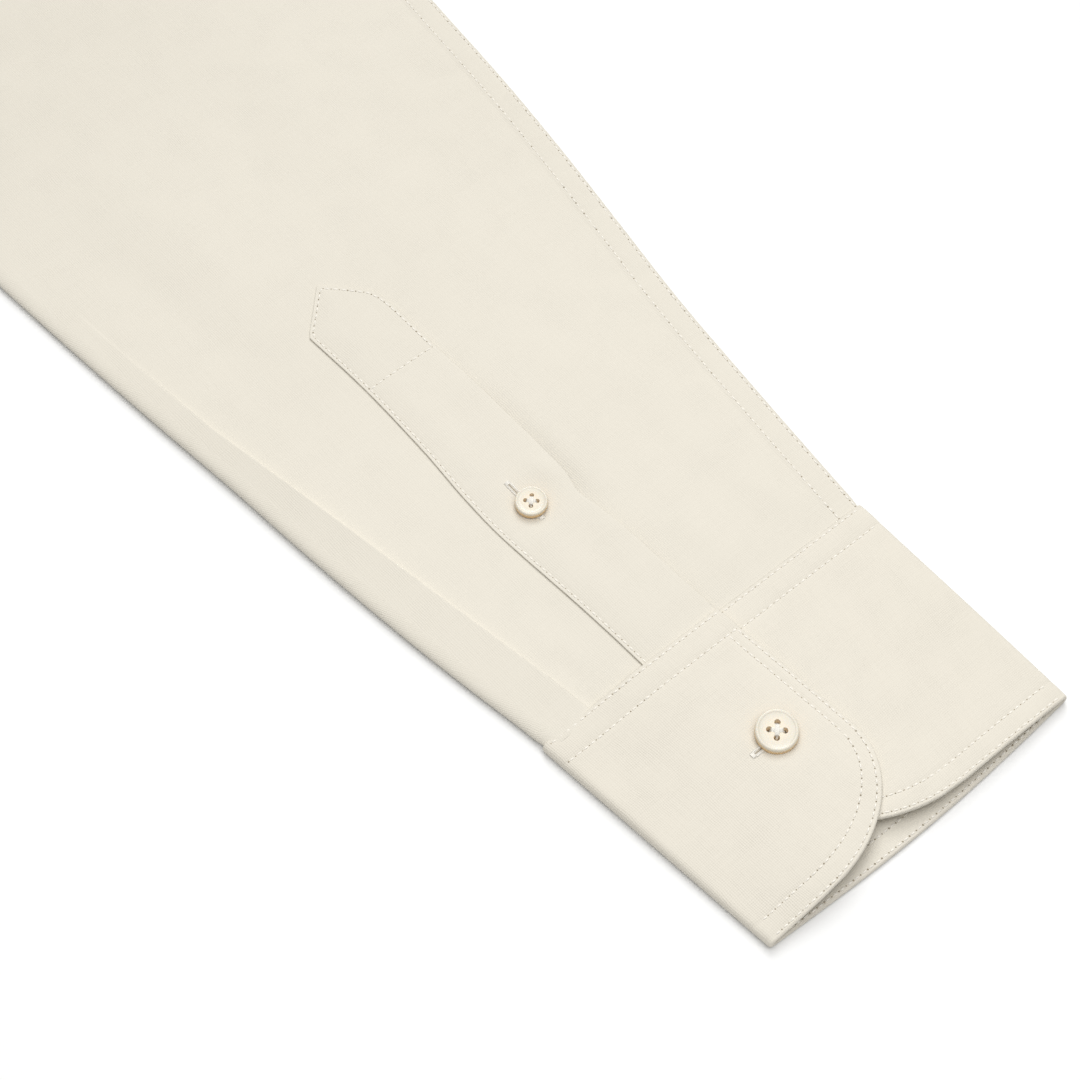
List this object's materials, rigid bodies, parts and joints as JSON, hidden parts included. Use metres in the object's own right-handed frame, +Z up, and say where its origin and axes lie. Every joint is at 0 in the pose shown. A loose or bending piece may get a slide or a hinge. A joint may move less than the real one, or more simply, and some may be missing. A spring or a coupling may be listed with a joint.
{
  "type": "long-sleeve shirt",
  "caption": "Long-sleeve buttoned shirt lying flat on its front with its back up, sleeves spread, barrel cuffs and pointed sleeve plackets.",
  "frame": {"origin": "on the surface that the shirt lies on, below the middle of its outline", "axes": "+Z up from the surface, +Y from the hem to the collar, +X to the wearer's right as it lies on its front"},
  "size_m": [1.6188, 0.7934, 0.0249],
  "materials": {
    "shirt_cloth": "cream cotton twill, matte",
    "collar_cuff_cloth": "cream cotton twill over interlining, matte",
    "button_resin": "off-white polished resin"
  },
  "bodies": {
    "root": {"back_panel": "shirt_cloth", "yoke": "shirt_cloth", "front_left": "shirt_cloth", "front_right": "shirt_cloth", "front_band": "shirt_cloth", "sleeve_left": "shirt_cloth", "sleeve_right": "shirt_cloth", "sleeve_placket_left": "shirt_cloth", "sleeve_placket_right": "shirt_cloth", "collar_stand": "collar_cuff_cloth", "collar_leaf": "collar_cuff_cloth", "cuff_left": "collar_cuff_cloth", "cuff_right": "collar_cuff_cloth", "cuff_button_left": "button_resin", "cuff_button_right": "button_resin", "placket_button_left": "button_resin", "placket_button_right": "button_resin", "stand_button": "button_resin", "front_button_1": "button_resin", "front_button_2": "button_resin", "front_button_3": "button_resin", "front_button_4": "button_resin", "front_button_5": "button_resin", "front_button_6": "button_resin", "front_button_7": "button_resin"}
  },
  "joints": []
}
